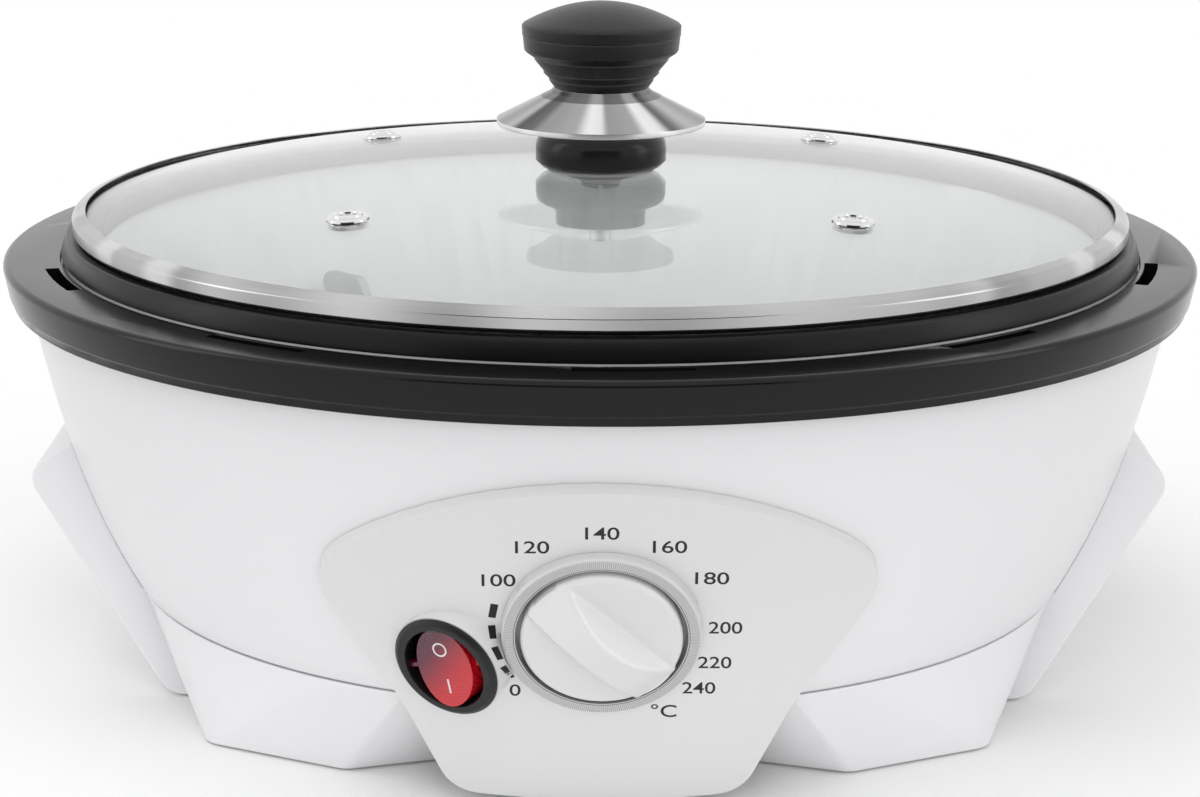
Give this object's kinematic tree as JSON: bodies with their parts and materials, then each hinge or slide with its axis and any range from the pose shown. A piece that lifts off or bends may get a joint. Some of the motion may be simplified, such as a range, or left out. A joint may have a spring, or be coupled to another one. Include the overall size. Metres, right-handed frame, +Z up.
{
  "type": "home coffee roaster",
  "caption": "Round countertop coffee roaster with a lift-off glass lid, a stirrer in a heated pan, and a front panel with a temperature dial and a round rocker switch.",
  "frame": {"origin": "on the table, under the centre of the round body", "axes": "+Z up, +X to the right seen from the front, -Y towards the user, where the control panel is"},
  "size_m": [0.2993, 0.2994, 0.1713],
  "materials": {
    "clear_glass": "clear, polished",
    "band_steel": "brushed round the band",
    "eyelet_steel": "bright pressed steel",
    "skirt_steel": "spun bright",
    "lid_knob_black": "satin",
    "collar_black": "gloss",
    "seal_silicone": "matte",
    "fastener_steel": "plated",
    "rim_black": "satin",
    "seat_black": "satin with turned lines",
    "pan_aluminium": "satin, pale grey",
    "bush_bronze": "machined",
    "stirrer_aluminium": "cast, tumbled",
    "shaft_steel": "ground",
    "gear_plastic": "moulded",
    "magnet_ferrite": "sintered, dark grey",
    "coil_copper": "lacquered winding",
    "sheet_steel": "zinc plated",
    "shield_steel": "bright sheet",
    "gearbox_cast": "cast",
    "heater_sheath": "oxidised",
    "sensor_copper": "drawn tube",
    "fuse_metal": "drawn case",
    "ceramic_ivory": "glazed",
    "body_white": "soft gloss",
    "lobe_white": "soft gloss",
    "cover_grey": "moulded",
    "feet_rubber": "matte",
    "gland_black": "moulded",
    "panel_white": "soft gloss",
    "ring_clear": "clear with a knurled band",
    "dial_white": "soft gloss",
    "thermostat_case": "moulded",
    "switch_black": "fine grain",
    "rocker_red": "translucent red",
    "terminal_brass": "plated",
    "lead_silicone": "matte"
  },
  "bodies": {
    "body": {"rim_ring": "rim_black", "seat_ring": "seat_black", "rim_screws": "fastener_steel", "roasting_pan": "pan_aluminium", "pan_bush": "bush_bronze", "idler_pin": "shaft_steel", "stator_coil": "coil_copper", "motor_can": "sheet_steel", "gearbox_housing": "gearbox_cast", "gearbox_lid": "sheet_steel", "chassis_plate": "sheet_steel", "chassis_screws": "fastener_steel", "heat_shield": "shield_steel", "shield_posts": "sheet_steel", "heater_ring": "heater_sheath", "heater_saddles": "sheet_steel", "sensor_bulb": "sensor_copper", "thermal_fuse": "fuse_metal", "outer_bowl": "body_white", "base_ring": "body_white", "base_cover": "cover_grey", "base_screws": "fastener_steel", "front_left_leg": "body_white", "front_right_leg": "body_white", "rear_left_leg": "body_white", "rear_right_leg": "body_white", "rubber_feet": "feet_rubber", "left_handle": "lobe_white", "right_handle": "lobe_white", "rear_cover": "lobe_white", "cord_gland": "gland_black", "terminal_block": "ceramic_ivory", "control_panel": "panel_white", "dial_ring": "ring_clear", "thermostat_body": "thermostat_case", "switch_bezel": "switch_black", "switch_body": "switch_black", "switch_terminals": "terminal_brass", "wiring": "lead_silicone"},
    "lid": {"glass_lid": "clear_glass", "lid_band": "band_steel", "vent_eyelets": "eyelet_steel", "lid_knob": "lid_knob_black", "knob_skirt": "skirt_steel", "knob_collar": "collar_black", "knob_seal": "seal_silicone", "knob_washer": "fastener_steel", "knob_screw": "fastener_steel"},
    "stirrer_shaft": {"stirrer": "stirrer_aluminium", "stirrer_nut": "fastener_steel", "drive_shaft": "shaft_steel", "output_wheel": "gear_plastic"},
    "idler": {"idler_gear": "gear_plastic"},
    "rotor": {"rotor_pinion": "gear_plastic", "rotor_magnet": "magnet_ferrite"},
    "dial": {"control_knob": "dial_white", "thermostat_spindle": "shaft_steel"},
    "rocker": {"switch_rocker": "rocker_red"}
  },
  "joints": [
    {"name": "lid_lift", "type": "slide", "parent": "body", "child": "lid", "axis": [0, 0, 1], "range_m": [0, 0.2]},
    {"name": "stirrer_spin", "type": "hinge", "parent": "body", "child": "stirrer_shaft", "pos_m": [0, 0, 0.05], "axis": [0, 0, 1], "continuous": true},
    {"name": "idler_spin", "type": "hinge", "parent": "body", "child": "idler", "pos_m": [0.024, 0, 0.022], "axis": [0, 0, 1], "continuous": true},
    {"name": "rotor_spin", "type": "hinge", "parent": "body", "child": "rotor", "pos_m": [0, 0, 0.012], "axis": [0, 0, 1], "continuous": true},
    {"name": "knob_turn", "type": "hinge", "parent": "body", "child": "dial", "pos_m": [0.0008, -0.13023, 0.0493], "axis": [0, 0.9272, 0.3746], "range_deg": [-90, 176]},
    {"name": "switch_rock", "type": "hinge", "parent": "body", "child": "rocker", "pos_m": [-0.03274, -0.12528, 0.03998], "axis": [0.8988, -0.4065, -0.1642], "range_deg": [0, 20]}
  ],
  "couplings": [
    {"joint": "idler_spin", "follows": "stirrer_spin", "ratio": -3},
    {"joint": "rotor_spin", "follows": "stirrer_spin", "ratio": 9}
  ]
}
